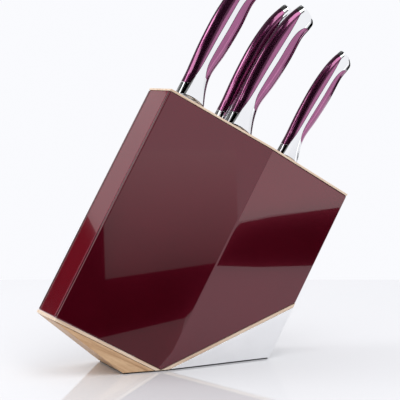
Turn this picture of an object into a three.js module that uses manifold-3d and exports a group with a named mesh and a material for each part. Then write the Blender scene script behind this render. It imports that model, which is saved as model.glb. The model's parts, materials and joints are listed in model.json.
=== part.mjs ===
// A slanted knife block with four knives, in millimetres, +Z up.
// The origin is the middle of the pad that the block rests on; +Y is the block's thickness.
// The block is drawn in its own tilted frame: x runs along the top plate from the left end, z runs up
// along the slots, and y is the same as outside. Each knife is drawn in a frame of its own, whose origin
// is the blade's spine at the top plate: x runs from the spine towards the edge, z up the handle.
import * as THREE from "three";
import { mergeVertices } from "three/addons/utils/BufferGeometryUtils.js";
import Module from "manifold-3d";

const wasm = await Module();
wasm.setup();

// ---- Driving dimensions ----
const TILT = THREE.MathUtils.degToRad(29); // how far the slots lean from upright
const BLOCK_LENGTH = 212; // along the top plate
const LEFT_HEIGHT = 228; // of the left end, along the slots
const RIGHT_HEIGHT = 114.7; // of the right end
const LOW_CORNER = 111; // from the left end to the lowest corner, along the top plate
const LOW_CORNER_LIFT = 1.5; // of the lowest corner above the table
const END_THICKNESS = 51; // of the block at its two ends
const RIDGE_RISE = 9; // how far the fold of each side stands out past the ends
const RIDGE_PLACE = 114; // of the fold, from the left end
const GLUE_GAP = 0.3; // left between neighbouring pieces

const PANEL_THICKNESS = 5; // of the lacquered side panels
const END_PANEL_THICKNESS = 6;
const TOP_PLATE_THICKNESS = 2.2;
const BOTTOM_PLATE_THICKNESS = 3;

const ROW_OFFSET = 14; // of each row of slots from the middle of the block
const BLADE_THICKNESS = 2.2;
const SLOT_CLEARANCE = 0.4; // on each face of the blade
const SLOT_WIDTH = BLADE_THICKNESS + 2 * SLOT_CLEARANCE;
const SLOT_PLAY = 1.6; // beside the blade's spine and edge

const FOOT_TOE = 36.5; // how far the wooden foot reaches left of the lowest corner
const FOOT_HEEL = (BLOCK_LENGTH - LOW_CORNER) / Math.cos(TILT); // the foot's reach to its right
const FOOT_LENGTH = FOOT_TOE + FOOT_HEEL;
const PAD_THICKNESS = 0.9;
const PAD_INSET = 1.2; // of the pad from the foot's outline
const FOOT_SHEET = 1.5; // wall of the steel foot

const SCREW_RADIUS = 2.2;
const SCREW_HEAD_RADIUS = 4.2;
const SCREW_HEAD_HEIGHT = 2.6;
const SCREW_LENGTH = 58;
const SCREW_PLACES = [38, 62]; // right of the lowest corner
const SCREW_SIDES = 12;

const EDGE_THICKNESS = 0.4;
const HANDLE_THICKNESS = 16;
const HANDLE_FLAT = 0.25; // share of the handle's width that is flat, between its rounded sides
const HANDLE_REACH = 138; // past the top of the butt
const BOLSTER_WIDTH = 29.5;
const BOLSTER_GAP = 1.5; // from the top plate to the bolster's feet
const BOLSTER_ARCH = 3; // how far the bolster's underside rises between them
const TANG_WIDTH = 8.5;
const TANG_PLACE = 7; // of the tang from the spine
const TANG_TOP = 21;

const PLATE_TOP = LEFT_HEIGHT + TOP_PLATE_THICKNESS;
const TIP_ROOM = 30; // left under the tips of the long blades, to the floor of their slots
const LONG_BLADE = PLATE_TOP - TIP_ROOM;

// Each knife: the place of its spine along the top plate, its row, how many degrees it leans on the
// slots' direction, its handle's width and height against the full size, and its blade.
const FULL_HANDLE = { broad: 1, tall: 1 };
const KNIVES = [
  {
    ...{ name: "chef", place: 10.5, row: -1, lean: 0, ...FULL_HANDLE },
    ...{ length: LONG_BLADE, width: 42, tip: 15, teeth: 0 },
  },
  {
    ...{ name: "bread", place: 66.7, row: 1, lean: 1, ...FULL_HANDLE },
    ...{ length: LONG_BLADE, width: 31, tip: 21, teeth: 22 },
  },
  {
    ...{ name: "carving", place: 67, row: -1, lean: 2.2, ...FULL_HANDLE },
    ...{ length: LONG_BLADE, width: 31, tip: 9, teeth: 0 },
  },
  {
    ...{ name: "utility", place: 129.3, row: -1, lean: 2.4, broad: 0.79, tall: 0.885 },
    ...{ length: 128, width: 23, tip: 8, teeth: 0 },
  },
];

// ---- Materials ----
const finish = (color, roughness, metalness) =>
  new THREE.MeshStandardMaterial({ color, roughness, metalness, flatShading: true });
const lacquer = finish(0x5a1020, 0.12, 0);
const paleWood = finish(0xe3c3a4, 0.55, 0);
const footWood = finish(0xc9a37f, 0.55, 0);
const boardWood = finish(0xb58a60, 0.7, 0);
const mirrorSteel = finish(0xd8dade, 0.08, 1);
const bladeSteel = finish(0xb9bcc0, 0.3, 1);
const plumInlay = finish(0x6a1f52, 0.2, 0.6);
const rubber = finish(0x1b1b1d, 0.85, 0);
const zincSteel = finish(0x9aa0a6, 0.4, 1);

// ---- Solids ----
function toSolid(geometry) {
  const bare = geometry.clone();
  bare.deleteAttribute("normal");
  bare.deleteAttribute("uv");
  const merged = mergeVertices(bare);
  return new wasm.Manifold(
    new wasm.Mesh({
      numProp: 3,
      vertProperties: Float32Array.from(merged.attributes.position.array),
      triVerts: Uint32Array.from(merged.index.array),
    }),
  );
}

function toGeometry(solid) {
  const mesh = solid.getMesh();
  const geometry = new THREE.BufferGeometry();
  geometry.setAttribute("position", new THREE.BufferAttribute(mesh.vertProperties, 3));
  geometry.setIndex(new THREE.BufferAttribute(mesh.triVerts, 1));
  geometry.computeVertexNormals();
  return geometry;
}

function shapeOf(points) {
  return new THREE.Shape(points.map(([x, y]) => new THREE.Vector2(x, y)));
}

// An outline in the x-z plane, given thickness from yLow to yHigh.
function sidePrism(shape, yLow, yHigh, options = {}) {
  const geometry = new THREE.ExtrudeGeometry(shape, {
    depth: yHigh - yLow,
    bevelEnabled: false,
    curveSegments: 6,
    ...options,
  });
  geometry.rotateX(Math.PI / 2);
  geometry.translate(0, yHigh, 0);
  return toSolid(geometry);
}

// An outline in the x-y plane, drawn out along the slots through the whole block and its foot.
function alongSlots(points) {
  const reach = LEFT_HEIGHT + BLOCK_LENGTH;
  const geometry = new THREE.ExtrudeGeometry(shapeOf(points), { depth: 2 * reach, bevelEnabled: false });
  geometry.translate(0, 0, -reach);
  return toSolid(geometry);
}

function pieceOf(name, solid, material) {
  const mesh = new THREE.Mesh(toGeometry(solid), material);
  mesh.name = name;
  return mesh;
}

// ---- The block's frame ----
const root = new THREE.Group();
const cornerX = FOOT_TOE - FOOT_LENGTH / 2; // the lowest corner, seen from the middle of the foot
const block = new THREE.Group();
block.rotation.y = TILT;
block.position.set(
  cornerX - LOW_CORNER * Math.cos(TILT),
  0,
  LOW_CORNER_LIFT + LOW_CORNER * Math.sin(TILT),
);
root.add(block);

// A point of the table's frame, given from the lowest corner's foot, as the block's [x, z].
function fromTable(x, height) {
  const up = height - LOW_CORNER_LIFT;
  return [
    LOW_CORNER + x * Math.cos(TILT) - up * Math.sin(TILT),
    x * Math.sin(TILT) + up * Math.cos(TILT),
  ];
}

// Half the block's thickness at a place along the top plate.
function halfThickness(x) {
  const share = x < RIDGE_PLACE ? x / RIDGE_PLACE : (BLOCK_LENGTH - x) / (BLOCK_LENGTH - RIDGE_PLACE);
  return END_THICKNESS / 2 + RIDGE_RISE * share;
}

// The block's six-sided section, with its two folded sides set in and its ends cut back.
function sectionPoints(inset, cut = 0) {
  const stations = [cut, RIDGE_PLACE, BLOCK_LENGTH - cut];
  const near = stations.map((x) => [x, inset - halfThickness(x)]);
  const far = stations.map((x) => [x, halfThickness(x) - inset]);
  return [...near, ...far.reverse()];
}

const lowEnd = [BLOCK_LENGTH, LEFT_HEIGHT - RIGHT_HEIGHT];
const bodyPoints = [
  [0, 0],
  [LOW_CORNER, 0],
  lowEnd,
  [BLOCK_LENGTH, LEFT_HEIGHT],
  [0, LEFT_HEIGHT],
];
const wide = END_THICKNESS / 2 + RIDGE_RISE + 5; // clear of both sides
const bodySide = sidePrism(shapeOf(bodyPoints), -wide, wide);

// The lower right edge, moved outwards by a distance: the line's two ends.
const lowRun = new THREE.Vector2(lowEnd[0] - LOW_CORNER, lowEnd[1]).normalize();
function lowRightLine(out) {
  const shiftX = lowRun.y * out;
  const shiftZ = -lowRun.x * out;
  const reach = 20; // past both ends of the edge
  return [
    [LOW_CORNER + shiftX - lowRun.x * reach, shiftZ - lowRun.y * reach],
    [lowEnd[0] + shiftX + lowRun.x * reach, lowEnd[1] + shiftZ + lowRun.y * reach],
  ];
}

// Everything above a height over the table.
function aboveTable(height) {
  const reach = 2 * (LEFT_HEIGHT + BLOCK_LENGTH);
  const corners = [
    fromTable(-reach, height),
    fromTable(reach, height),
    fromTable(reach, height + reach),
    fromTable(-reach, height + reach),
  ];
  return sidePrism(shapeOf(corners), -wide, wide);
}

const outerSection = alongSlots(sectionPoints(0));
const restPlane = PAD_THICKNESS + GLUE_GAP;
const overPad = aboveTable(restPlane);

// ---- Knives: frames and slots ----
function knifeGroup(knife) {
  const group = new THREE.Group();
  group.position.set(knife.place, knife.row * ROW_OFFSET, PLATE_TOP);
  group.rotation.y = THREE.MathUtils.degToRad(knife.lean);
  group.updateMatrix();
  return group;
}

// A line along a knife, at a distance across it, from over the top plate to below the body.
const LINE_OVERRUN = 10;
function slotLine(knife, across) {
  const group = knifeGroup(knife);
  const down = PLATE_TOP + LINE_OVERRUN;
  const ends = [new THREE.Vector3(across, 0, LINE_OVERRUN), new THREE.Vector3(across, 0, -down)];
  return ends.map((end) => end.applyMatrix4(group.matrix)).map((end) => [end.x, end.z]);
}

function slotSpan(knife) {
  return [-SLOT_PLAY, knife.width + SLOT_PLAY];
}

function slotCutter(knife) {
  const [near, far] = slotSpan(knife);
  const box = [
    [near, -40],
    [far, -40],
    [far, 40],
    [near, 40],
  ];
  const cutter = sidePrism(shapeOf(box), -SLOT_WIDTH / 2, SLOT_WIDTH / 2);
  return cutter.transform(knifeGroup(knife).matrix.elements);
}

// ---- The block's casing ----
function foldedPanel(side) {
  const stations = [0, RIDGE_PLACE, BLOCK_LENGTH];
  const outer = stations.map((x) => [x, side * halfThickness(x)]);
  const inner = stations.map((x) => [x, side * (halfThickness(x) - PANEL_THICKNESS)]);
  const outline = side < 0 ? [...outer, ...inner.reverse()] : [...inner, ...outer.reverse()];
  return alongSlots(outline).intersect(bodySide);
}

function endPanel(from, to) {
  const inset = PANEL_THICKNESS + GLUE_GAP;
  const outline = [
    [from, inset - halfThickness(from)],
    [to, inset - halfThickness(to)],
    [to, halfThickness(to) - inset],
    [from, halfThickness(from) - inset],
  ];
  return alongSlots(outline).intersect(bodySide);
}

function topPlate() {
  const low = LEFT_HEIGHT + GLUE_GAP;
  const outline = [
    [0, low],
    [BLOCK_LENGTH, low],
    [BLOCK_LENGTH, PLATE_TOP],
    [0, PLATE_TOP],
  ];
  const plate = sidePrism(shapeOf(outline), -wide, wide).intersect(outerSection);
  return KNIVES.reduce((rest, knife) => rest.subtract(slotCutter(knife)), plate);
}

// The two plates under the body meet at the lowest corner, on the line that halves it.
function bottomPlateLeft() {
  const outline = [
    [0, -BOTTOM_PLATE_THICKNESS],
    [LOW_CORNER, -BOTTOM_PLATE_THICKNESS],
    [LOW_CORNER, -GLUE_GAP],
    [0, -GLUE_GAP],
  ];
  return sidePrism(shapeOf(outline), -wide, wide).intersect(outerSection).intersect(overPad);
}

function bottomPlateRight() {
  const [innerStart, innerEnd] = lowRightLine(GLUE_GAP);
  const [outerStart, outerEnd] = lowRightLine(BOTTOM_PLATE_THICKNESS);
  const keep = [
    [LOW_CORNER + GLUE_GAP, -50],
    [BLOCK_LENGTH, -50],
    [BLOCK_LENGTH, LEFT_HEIGHT],
    [LOW_CORNER + GLUE_GAP, LEFT_HEIGHT],
  ];
  return sidePrism(shapeOf([outerStart, outerEnd, innerEnd, innerStart]), -wide, wide)
    .intersect(sidePrism(shapeOf(keep), -wide, wide))
    .intersect(outerSection)
    .intersect(overPad)
    .subtract(screwHoles());
}

// ---- The boards inside ----
function board(yNear, yFar) {
  const cut = END_PANEL_THICKNESS + GLUE_GAP;
  const outline = [
    [cut, yNear],
    [BLOCK_LENGTH - cut, yNear],
    [BLOCK_LENGTH - cut, yFar],
    [cut, yFar],
  ];
  const lining = alongSlots(sectionPoints(PANEL_THICKNESS + GLUE_GAP, cut));
  return alongSlots(outline).intersect(lining).intersect(bodySide);
}

// A spacer fills a row's layer between two lines along the slots.
function spacer(row, leftLine, rightLine) {
  const half = SLOT_WIDTH / 2 - GLUE_GAP;
  const middle = row * ROW_OFFSET;
  const outline = [leftLine[1], rightLine[1], rightLine[0], leftLine[0]];
  return sidePrism(shapeOf(outline), middle - half, middle + half).intersect(bodySide);
}

function rowSpacers(row) {
  const cut = END_PANEL_THICKNESS + GLUE_GAP;
  const upright = (x) => [
    [x, PLATE_TOP + LINE_OVERRUN],
    [x, -LINE_OVERRUN],
  ];
  const lines = [upright(cut)];
  for (const knife of KNIVES.filter((each) => each.row === row)) {
    const [near, far] = slotSpan(knife);
    lines.push(slotLine(knife, near), slotLine(knife, far));
  }
  lines.push(upright(BLOCK_LENGTH - cut));
  const solids = [];
  for (let i = 0; i < lines.length; i += 2) solids.push(spacer(row, lines[i], lines[i + 1]));
  return solids;
}

// ---- The feet ----
function woodFoot() {
  const under = -BOTTOM_PLATE_THICKNESS - GLUE_GAP;
  const drop = LOW_CORNER_LIFT + under * Math.cos(TILT) - restPlane; // of the plate's underside at the corner
  const heel = LOW_CORNER + drop / Math.sin(TILT);
  const outline = [[0, under], fromTable(-FOOT_TOE, restPlane), [heel, under]];
  return sidePrism(shapeOf(outline), -wide, wide).intersect(outerSection);
}

// The wedge below the lower right plate, set in from its front, back, right end and underside.
function rightWedge(inset, lineOut, rest) {
  const [lineStart, lineEnd] = lowRightLine(lineOut);
  const below = [lineStart, [lineStart[0], -200], [lineEnd[0], -200], lineEnd];
  const keep = [
    [LOW_CORNER + GLUE_GAP, -200],
    [BLOCK_LENGTH - inset, -200],
    [BLOCK_LENGTH - inset, LEFT_HEIGHT],
    [LOW_CORNER + GLUE_GAP, LEFT_HEIGHT],
  ];
  return sidePrism(shapeOf(below), -wide, wide)
    .intersect(sidePrism(shapeOf(keep), -wide, wide))
    .intersect(alongSlots(sectionPoints(inset)))
    .intersect(aboveTable(rest));
}

const underPlate = BOTTOM_PLATE_THICKNESS + GLUE_GAP;

function steelFoot() {
  const inside = rightWedge(FOOT_SHEET, underPlate - 2, restPlane + FOOT_SHEET);
  return rightWedge(0, underPlate, restPlane).subtract(inside).subtract(screwHoles());
}

function footCore() {
  const inset = FOOT_SHEET + GLUE_GAP;
  return rightWedge(inset, underPlate, restPlane + inset).subtract(screwHoles());
}

function screwProfile(clearance) {
  const radius = SCREW_RADIUS + clearance;
  const head = SCREW_HEAD_RADIUS + clearance;
  return [
    [0, -clearance],
    [head, -clearance],
    [head, 0.6 + clearance],
    [radius, SCREW_HEAD_HEIGHT + clearance],
    [radius, SCREW_LENGTH + clearance],
    [0, SCREW_LENGTH + clearance],
  ].map(([x, y]) => new THREE.Vector2(x, y));
}

// The foot's screws stand upright on the resting plane; here they are in the block's frame.
function screws(clearance) {
  return SCREW_PLACES.map((place) => {
    const geometry = new THREE.LatheGeometry(screwProfile(clearance), SCREW_SIDES);
    geometry.rotateX(Math.PI / 2);
    geometry.rotateY(-TILT);
    const [x, z] = fromTable(place, restPlane);
    geometry.translate(x, 0, z);
    return toSolid(geometry);
  });
}

function screwHoles() {
  return wasm.Manifold.union(screws(GLUE_GAP));
}

function pad() {
  const outline = [
    fromTable(PAD_INSET - FOOT_TOE, 0),
    fromTable(FOOT_HEEL - PAD_INSET, 0),
    fromTable(FOOT_HEEL - PAD_INSET, PAD_THICKNESS),
    fromTable(PAD_INSET - FOOT_TOE, PAD_THICKNESS),
  ];
  return sidePrism(shapeOf(outline), -wide, wide).intersect(alongSlots(sectionPoints(PAD_INSET)));
}

// ---- A knife's handle ----
const spineCurve = [
  [0, BOLSTER_GAP],
  [-0.4, 22],
  [-1.9, 54],
  [-1.2, 86],
  [3, 114],
  [10.4, 135],
];
const buttCurve = [
  [13.5, 136.6],
  [23, 134.2],
  [30.8, 129],
];
const bellyCurve = [
  [30.6, 120.5],
  [28.1, 108],
  [28.2, 84],
  [25.9, 56],
  [22.3, 33],
  [24.4, 17],
  [BOLSTER_WIDTH, BOLSTER_GAP],
];
// The two lines where the inlays meet the bright strip down the middle of the handle.
const spineSeam = [
  [4.5, 14],
  [7.3, 33],
  [8.9, 66],
  [11.3, 104],
  [12, 127],
];
const bellySeam = [
  [22.5, 117],
  [17.2, 104.5],
  [15.2, 76],
  [13, 40],
  [16.2, 26],
];

const INLAY_TOP = [6, 131]; // where the spine inlay's slanted upper end turns, near the butt

const vectors = (points) => points.map(([x, y]) => new THREE.Vector2(x, y));

// Points under the bolster's arch, from the belly side back to the spine.
function archPoints(drop) {
  const half = BOLSTER_WIDTH / 2;
  const steps = 6;
  const points = [];
  for (let i = 1; i < steps; i++) {
    const x = BOLSTER_WIDTH * (1 - i / steps);
    points.push([x, BOLSTER_GAP + BOLSTER_ARCH * (1 - ((x - half) / half) ** 2) - drop]);
  }
  return points;
}

function handleShape() {
  const shape = new THREE.Shape();
  shape.moveTo(...spineCurve[0]);
  shape.splineThru(vectors(spineCurve.slice(1)));
  shape.splineThru(vectors(buttCurve));
  shape.splineThru(vectors(bellyCurve));
  for (const point of archPoints(0)) shape.lineTo(...point);
  return shape;
}

// How far across a curve lies at a height; past its ends it keeps its end's place.
function acrossAt(curvePoints, height) {
  const points = new THREE.SplineCurve(vectors(curvePoints)).getPoints(60).sort((p, q) => p.y - q.y);
  const last = points.length - 1;
  if (height <= points[0].y) return points[0].x;
  if (height >= points[last].y) return points[last].x;
  const i = points.findIndex((point) => point.y > height);
  const [low, high] = [points[i - 1], points[i]];
  return low.x + ((high.x - low.x) * (height - low.y)) / (high.y - low.y);
}

// A round-sided section drawn up the handle, as wide at each height as the outline is there.
function handleSolid() {
  const half = HANDLE_THICKNESS / 2;
  const section = new THREE.Shape();
  section.absellipse(HANDLE_FLAT, 0, 1 - HANDLE_FLAT, half, -Math.PI / 2, Math.PI / 2);
  section.absellipse(-HANDLE_FLAT, 0, 1 - HANDLE_FLAT, half, Math.PI / 2, 1.5 * Math.PI);
  const options = { depth: HANDLE_REACH, steps: 16, bevelEnabled: false, curveSegments: 3 };
  const geometry = new THREE.ExtrudeGeometry(section, options);
  const position = geometry.getAttribute("position");
  for (let i = 0; i < position.count; i++) {
    const left = acrossAt(spineCurve, position.getZ(i));
    const right = acrossAt(bellyCurve, position.getZ(i));
    position.setX(i, left + ((position.getX(i) + 1) / 2) * (right - left));
  }
  return toSolid(geometry).intersect(sidePrism(handleShape(), -half, half, { curveSegments: 2 }));
}

// The part of the handle that an inlay takes up, grown by a clearance.
function spineRegion(grow) {
  const shape = new THREE.Shape();
  shape.moveTo(-20, 10 - grow);
  shape.lineTo(spineSeam[0][0] + grow, spineSeam[0][1] - grow);
  shape.splineThru(vectors(spineSeam.slice(1).map(([x, y]) => [x + grow, y])));
  shape.lineTo(INLAY_TOP[0] + grow, INLAY_TOP[1] + grow);
  shape.lineTo(-20, INLAY_TOP[1] + 5 + grow);
  return sidePrism(shape, -HANDLE_THICKNESS, HANDLE_THICKNESS, { curveSegments: 2 });
}

function bellyRegion(grow) {
  const shape = new THREE.Shape();
  shape.moveTo(50, 119.5 + grow);
  shape.lineTo(30, 119.5 + grow);
  shape.splineThru(vectors(bellySeam.map(([x, y]) => [x - grow, y])));
  shape.lineTo(50, 8 - grow);
  return sidePrism(shape, -HANDLE_THICKNESS, HANDLE_THICKNESS, { curveSegments: 2 });
}

function tangSolid(clearance) {
  const half = TANG_WIDTH / 2 + clearance;
  const middle = TANG_PLACE + TANG_WIDTH / 2;
  const outline = [
    [middle - half, -2],
    [middle + half, -2],
    [middle + half, TANG_TOP + clearance],
    [middle - half, TANG_TOP + clearance],
  ];
  const thick = BLADE_THICKNESS / 2 + clearance;
  return sidePrism(shapeOf(outline), -thick, thick);
}

function handlePieces(knife) {
  const whole = handleSolid();
  const frame = whole
    .subtract(spineRegion(GLUE_GAP))
    .subtract(bellyRegion(GLUE_GAP))
    .subtract(tangSolid(GLUE_GAP));
  const sized = (solid) => solid.scale([knife.broad, 1, knife.tall]);
  return [
    pieceOf(`${knife.name}_handle_frame`, sized(frame), mirrorSteel),
    pieceOf(`${knife.name}_spine_inlay`, sized(whole.intersect(spineRegion(0))), plumInlay),
    pieceOf(`${knife.name}_belly_inlay`, sized(whole.intersect(bellyRegion(0))), plumInlay),
  ];
}

// ---- A knife's blade ----
// The edge, from the tip up to the heel, scalloped where the knife has teeth.
function edgePoints(knife) {
  const { length, width, tip, teeth } = knife;
  const heel = new THREE.Vector2(width, -4);
  const bend = new THREE.Vector2(width * 0.98, -length * 0.72);
  const curve = new THREE.QuadraticBezierCurve(new THREE.Vector2(tip, -length), bend, heel);
  const steps = teeth > 0 ? teeth * 2 : 12;
  const depth = teeth > 0 ? 0.9 : 0;
  return curve.getPoints(steps).map((point, i) => [point.x - (i % 2 === 1 ? depth : 0), point.y]);
}

function bladeSolid(knife) {
  const { length, width, tip, broad, tall } = knife;
  const shape = new THREE.Shape();
  shape.moveTo(0.6, 0);
  shape.lineTo(0.6, -length * 0.6);
  shape.quadraticCurveTo(0.6, -length * 0.86, tip, -length);
  for (const [x, z] of edgePoints(knife)) shape.lineTo(x, z);
  const top = Math.min(BOLSTER_WIDTH * broad, width) - 0.6;
  shape.lineTo(top, -4);
  shape.lineTo(top, 0);
  for (const [x, z] of archPoints(GLUE_GAP * 2)) {
    if (x * broad < top) shape.lineTo(x * broad, z * tall);
  }
  const profile = sidePrism(shape, -BLADE_THICKNESS, BLADE_THICKNESS, { curveSegments: 8 });
  const tang = tangSolid(0).scale([broad, 1, tall]);
  return profile.intersect(alongSlots(grindPoints(width))).add(tang);
}

// The blade's section: full thickness at the spine, ground thin from there to the edge.
function grindPoints(width) {
  const thick = BLADE_THICKNESS / 2;
  const thin = EDGE_THICKNESS / 2;
  return [
    [0, -thick],
    [width * 0.35, -thick],
    [width + 1, -thin],
    [width + 1, thin],
    [width * 0.35, thick],
    [0, thick],
  ];
}

// ---- Assembly ----
block.add(
  pieceOf("front_panel", foldedPanel(-1), lacquer),
  pieceOf("back_panel", foldedPanel(1), lacquer),
  pieceOf("left_end_panel", endPanel(0, END_PANEL_THICKNESS), lacquer),
  pieceOf("right_end_panel", endPanel(BLOCK_LENGTH - END_PANEL_THICKNESS, BLOCK_LENGTH), lacquer),
  pieceOf("top_plate", topPlate(), paleWood),
  pieceOf("bottom_plate_left", bottomPlateLeft(), paleWood),
  pieceOf("bottom_plate_right", bottomPlateRight(), paleWood),
);

const slotWall = ROW_OFFSET + SLOT_WIDTH / 2;
const middleWall = ROW_OFFSET - SLOT_WIDTH / 2;
block.add(
  pieceOf("front_board", board(-wide, -slotWall), boardWood),
  pieceOf("middle_board", board(-middleWall, middleWall).subtract(screwHoles()), boardWood),
  pieceOf("back_board", board(slotWall, wide), boardWood),
);
for (const [rowName, row] of [
  ["front", -1],
  ["back", 1],
]) {
  rowSpacers(row).forEach((solid, i) => {
    block.add(pieceOf(`${rowName}_spacer_${i + 1}`, solid, boardWood));
  });
}

block.add(
  pieceOf("wood_foot", woodFoot(), footWood),
  pieceOf("steel_foot", steelFoot(), mirrorSteel),
  pieceOf("foot_core", footCore(), boardWood),
  ...screws(0).map((solid, i) => pieceOf(`foot_screw_${i + 1}`, solid, zincSteel)),
  pieceOf("non_slip_pad", pad(), rubber),
);

for (const knife of KNIVES) {
  const group = knifeGroup(knife);
  group.add(pieceOf(`${knife.name}_blade`, bladeSolid(knife), bladeSteel), ...handlePieces(knife));
  block.add(group);
}

export default root;
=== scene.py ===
"""A slanted knife block with four knives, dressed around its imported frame.

The block's casing pieces get softened edges and their finishes. Each knife's blade and handle are made
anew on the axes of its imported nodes, so that they stay where the frame holds them.
"""

import json
import logging
import math
from collections.abc import Sequence
from dataclasses import dataclass
from enum import Enum

import bmesh
import bpy
import numpy as np
from mathutils import Matrix, Vector

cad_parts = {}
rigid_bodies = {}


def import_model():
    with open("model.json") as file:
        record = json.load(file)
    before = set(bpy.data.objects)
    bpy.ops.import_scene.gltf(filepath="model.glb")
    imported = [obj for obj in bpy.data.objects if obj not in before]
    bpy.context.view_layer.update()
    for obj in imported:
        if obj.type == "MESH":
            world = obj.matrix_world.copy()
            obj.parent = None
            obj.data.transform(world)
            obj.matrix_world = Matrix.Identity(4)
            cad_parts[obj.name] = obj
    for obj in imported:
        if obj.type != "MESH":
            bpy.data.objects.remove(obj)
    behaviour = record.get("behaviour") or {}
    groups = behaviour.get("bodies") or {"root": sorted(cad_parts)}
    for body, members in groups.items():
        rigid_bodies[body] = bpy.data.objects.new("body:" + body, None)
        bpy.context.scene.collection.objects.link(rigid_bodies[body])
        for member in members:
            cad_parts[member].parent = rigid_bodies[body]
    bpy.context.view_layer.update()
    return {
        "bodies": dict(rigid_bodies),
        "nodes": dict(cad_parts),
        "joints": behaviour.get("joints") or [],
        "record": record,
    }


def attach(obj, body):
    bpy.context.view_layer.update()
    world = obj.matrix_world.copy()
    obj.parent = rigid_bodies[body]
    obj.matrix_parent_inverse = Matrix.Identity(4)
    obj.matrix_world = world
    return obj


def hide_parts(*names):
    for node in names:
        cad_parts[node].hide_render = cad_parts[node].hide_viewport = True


LOG = logging.getLogger("knife_block")
MM = 0.001
SLOT_TILT = math.radians(29)  # of the slots from upright
Colour = tuple[float, float, float]
Point = tuple[float, float]
Place = tuple[float, float, float]
Socket = bpy.types.NodeSocket
Solid = bpy.types.Object
Nodes = dict[str, Solid]
WELD = 0.002 * MM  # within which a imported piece's corners are one
FLAT_WITHIN = math.radians(0.4)  # between faces that are one flat face
FACE_LEAD = 90  # of 100, how much the large faces lead the smooth normals


# ---- Shader graphs ----
class Graph:
    """A material's node graph, with short calls for the nodes used here."""

    def __init__(self, name: str) -> None:
        """Starts an empty graph that ends in a Principled shader.

        Args:
            name: the material's name.
        """
        self.material = bpy.data.materials.new(name)
        self.material.use_nodes = True
        self.nodes = self.material.node_tree.nodes
        self.links = self.material.node_tree.links
        self.nodes.clear()
        self.shader = self.nodes.new("ShaderNodeBsdfPrincipled")
        self.output = self.nodes.new("ShaderNodeOutputMaterial")
        self.links.new(self.shader.outputs["BSDF"], self.output.inputs["Surface"])

    def set(self, **values: float | Colour) -> None:
        """Sets constants on the shader's own sockets.

        Args:
            values: the sockets' names, with underscores for spaces, and their values.
        """
        for key, value in values.items():
            socket = self.shader.inputs[key.replace("_", " ")]
            socket.default_value = (*value, 1.0) if isinstance(value, tuple) else value

    def join(self, source: Socket, target: Socket | str) -> None:
        """Links an output to an input, or to the shader's socket of that name."""
        self.links.new(source, self.shader.inputs[target] if isinstance(target, str) else target)

    def place(self, turn: Matrix | None = None, stretch: Sequence[float] = (1, 1, 1)) -> Socket:
        """Gives the object's coordinates, turned and then stretched.

        Args:
            turn: the turn into the pattern's own axes.
            stretch: the scale along each of those axes.

        Returns:
            The coordinates' socket.
        """
        where = self.nodes.new("ShaderNodeTexCoord").outputs["Object"]
        if turn is not None:
            turned = self.nodes.new("ShaderNodeMapping")
            turned.inputs["Rotation"].default_value = turn.to_euler()
            self.join(where, turned.inputs["Vector"])
            where = turned.outputs["Vector"]
        scaled = self.nodes.new("ShaderNodeMapping")
        scaled.inputs["Scale"].default_value = stretch
        self.join(where, scaled.inputs["Vector"])
        return scaled.outputs["Vector"]

    def noise(self, where: Socket, scale: float, detail: float, distortion: float = 0) -> Socket:
        """Adds a noise texture and gives its factor.

        Args:
            where: the coordinates.
            scale: the pattern's scale, per metre.
            detail: the number of octaves.
            distortion: how much the pattern is warped.

        Returns:
            The factor's socket.
        """
        node = self.nodes.new("ShaderNodeTexNoise")
        node.inputs["Scale"].default_value = scale
        node.inputs["Detail"].default_value = detail
        node.inputs["Distortion"].default_value = distortion
        self.join(where, node.inputs["Vector"])
        return node.outputs["Fac"]

    def spread(self, source: Socket, low: float, high: float, to: Point) -> Socket:
        """Maps the range low..high of a factor to another range.

        Args:
            source: the factor.
            low: the factor's value that gives the first result.
            high: the factor's value that gives the second result.
            to: the two results.

        Returns:
            The result's socket.
        """
        node = self.nodes.new("ShaderNodeMapRange")
        for key, value in (("From Min", low), ("From Max", high), ("To Min", to[0]), ("To Max", to[1])):
            node.inputs[key].default_value = value
        self.join(source, node.inputs["Value"])
        return node.outputs["Result"]

    def ramp(self, source: Socket, stops: Sequence[tuple[float, Colour]]) -> Socket:
        """Turns a factor into a colour.

        Args:
            source: the factor.
            stops: places along the factor with their colours.

        Returns:
            The colour's socket.
        """
        node = self.nodes.new("ShaderNodeValToRGB")
        elements = node.color_ramp.elements
        for _ in stops[2:]:
            elements.new(0.5)
        for element, (place, colour) in zip(elements, stops):
            element.position = place
            element.color = (*colour, 1.0)
        self.join(source, node.inputs["Fac"])
        return node.outputs["Color"]

    def blend(self, factor: Socket, first: Socket, second: Colour) -> Socket:
        """Mixes a colour socket with a constant colour.

        Args:
            factor: how much of the second is taken.
            first: the colour that is changed.
            second: the constant colour.

        Returns:
            The mixed colour's socket.
        """
        node = self.nodes.new("ShaderNodeMix")
        node.data_type = "RGBA"
        self.join(factor, node.inputs["Factor"])
        self.join(first, node.inputs["A"])
        node.inputs["B"].default_value = (*second, 1.0)
        return node.outputs["Result"]

    def bump(self, heights: Sequence[tuple[Socket, float]]) -> None:
        """Adds bumps to the shader's normal.

        Args:
            heights: height factors, each with its height in metres.
        """
        previous = None
        for source, height in heights:
            node = self.nodes.new("ShaderNodeBump")
            node.inputs["Strength"].default_value = 1.0
            node.inputs["Distance"].default_value = height
            self.join(source, node.inputs["Height"])
            if previous is not None:
                self.join(previous, node.inputs["Normal"])
            previous = node.outputs["Normal"]
        self.join(previous, "Normal")


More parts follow.
